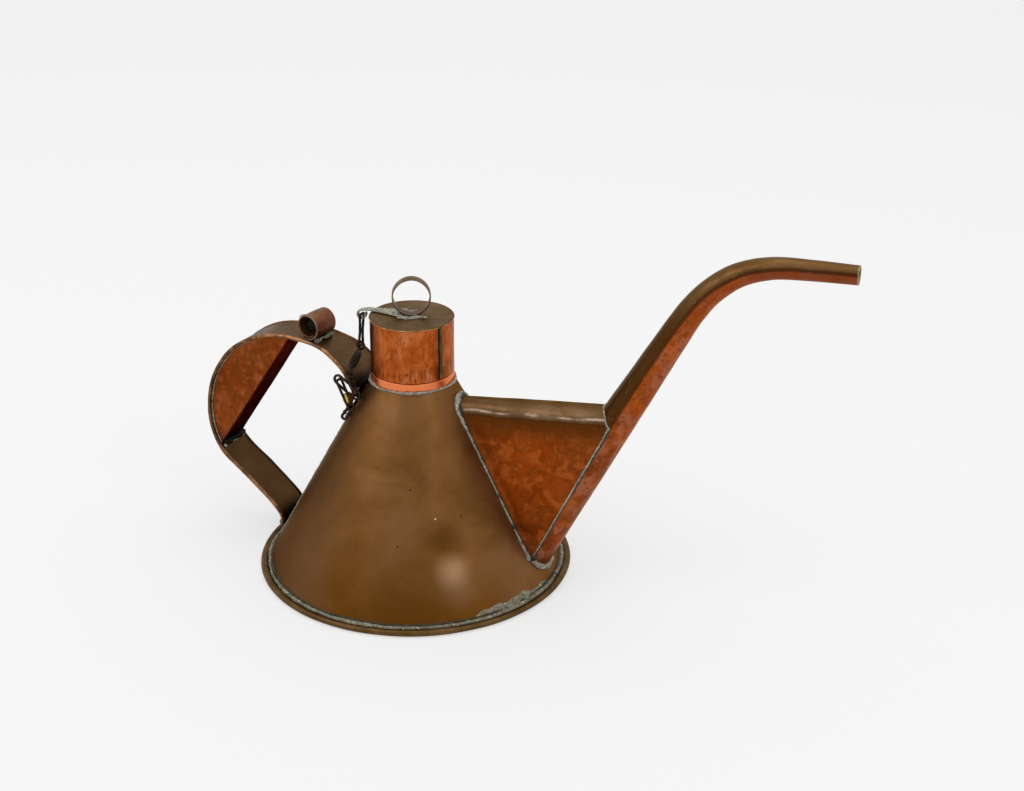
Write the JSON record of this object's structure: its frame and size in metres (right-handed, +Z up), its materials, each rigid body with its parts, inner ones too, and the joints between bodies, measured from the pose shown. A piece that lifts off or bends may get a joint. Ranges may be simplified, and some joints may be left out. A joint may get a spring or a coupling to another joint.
{
  "type": "copper pouring can",
  "caption": "Conical copper pouring can with a swan-neck spout, a hollow web behind it, a strap handle with a boxed grip, and a slip cap held by a short chain.",
  "frame": {"origin": "centre of the round base, on the cone's axis, in the plane that the can stands on", "axes": "+X towards the spout, +Y to the can's left seen from behind the handle, +Z up"},
  "size_m": [0.4127, 0.2, 0.2303],
  "materials": {
    "patina_copper": "satin, brown patina",
    "bright_copper": "polished, streaked",
    "red_copper": "satin, cloudy red-brown",
    "olive_copper": "dull, olive-brown patina",
    "maroon_copper": "satin, dark maroon",
    "solder": "dull, grey-green",
    "dark_bronze": "worn, nearly black",
    "pale_brass": "worn"
  },
  "bodies": {
    "can": {"base_plate": "olive_copper", "base_rim": "olive_copper", "base_solder": "solder", "cone_body": "patina_copper", "neck_tube": "bright_copper", "neck_shoulder_ring": "bright_copper", "neck_solder": "solder", "spout_tube": "red_copper", "spout_root_solder": "solder", "spout_web": "red_copper", "web_cone_solder": "solder", "web_spout_solder_front": "solder", "web_spout_solder_back": "solder", "handle_strap": "olive_copper", "handle_edge_wire_front": "bright_copper", "handle_edge_wire_back": "bright_copper", "grip_front_panel": "red_copper", "grip_back_panel": "red_copper", "grip_chord_plate": "maroon_copper", "grip_solder_front": "solder", "grip_solder_back": "solder", "upper_handle_solder": "solder", "lower_handle_solder": "solder", "thumb_roll": "red_copper", "thumb_roll_solder": "solder", "chain_staple": "dark_bronze"},
    "lid": {"cap_side": "bright_copper", "cap_top": "olive_copper", "cap_seam_strip": "solder", "cap_ring": "patina_copper", "cap_tongue": "solder", "cap_solder": "solder"},
    "link_long": {"chain_link_long": "dark_bronze"},
    "link_flat": {"chain_link_flat": "dark_bronze"},
    "link_loop": {"chain_link_loop": "dark_bronze"},
    "link_wire": {"chain_link_wire": "dark_bronze", "chain_ferrule": "pale_brass"},
    "link_hook": {"chain_link_hook": "dark_bronze"}
  },
  "joints": [
    {"name": "lid_lift", "type": "slide", "parent": "can", "child": "lid", "axis": [0, 0, 1], "range_m": [0, 0.02]},
    {"name": "long_link_swing", "type": "hinge", "parent": "lid", "child": "link_long", "pos_m": [-0.03195, -0.00267, 0.1645], "axis": [0.1045, 0.9945, 0], "range_deg": [-8.01, 0.01]},
    {"name": "flat_link_swing", "type": "hinge", "parent": "link_long", "child": "link_flat", "pos_m": [-0.03345, -0.00252, 0.1435], "axis": [0.1045, 0.9945, 0], "range_deg": [-0.01, 9.01]},
    {"name": "loop_link_swing", "type": "hinge", "parent": "link_flat", "child": "link_loop", "pos_m": [-0.03284, -0.02068, 0.131], "axis": [0.1045, 0.9945, 0], "range_deg": [-0.01, 2.41]},
    {"name": "wire_link_swing", "type": "hinge", "parent": "can", "child": "link_wire", "pos_m": [-0.03334, -0.02063, 0.109], "axis": [0.1045, 0.9945, 0], "range_deg": [-0.01, 10.01]},
    {"name": "hook_link_swing", "type": "hinge", "parent": "link_wire", "child": "link_hook", "pos_m": [-0.04129, -0.01979, 0.126], "axis": [0.1045, 0.9945, 0], "range_deg": [-90.01, 0.01]}
  ],
  "couplings": [
    {"joint": "long_link_swing", "follows": "lid_lift", "rad_per_m": -6.9813},
    {"joint": "flat_link_swing", "follows": "lid_lift", "rad_per_m": 7.854},
    {"joint": "loop_link_swing", "follows": "lid_lift", "rad_per_m": 2.0944},
    {"joint": "wire_link_swing", "follows": "lid_lift", "rad_per_m": 8.7266},
    {"joint": "hook_link_swing", "follows": "lid_lift", "rad_per_m": -78.54}
  ]
}
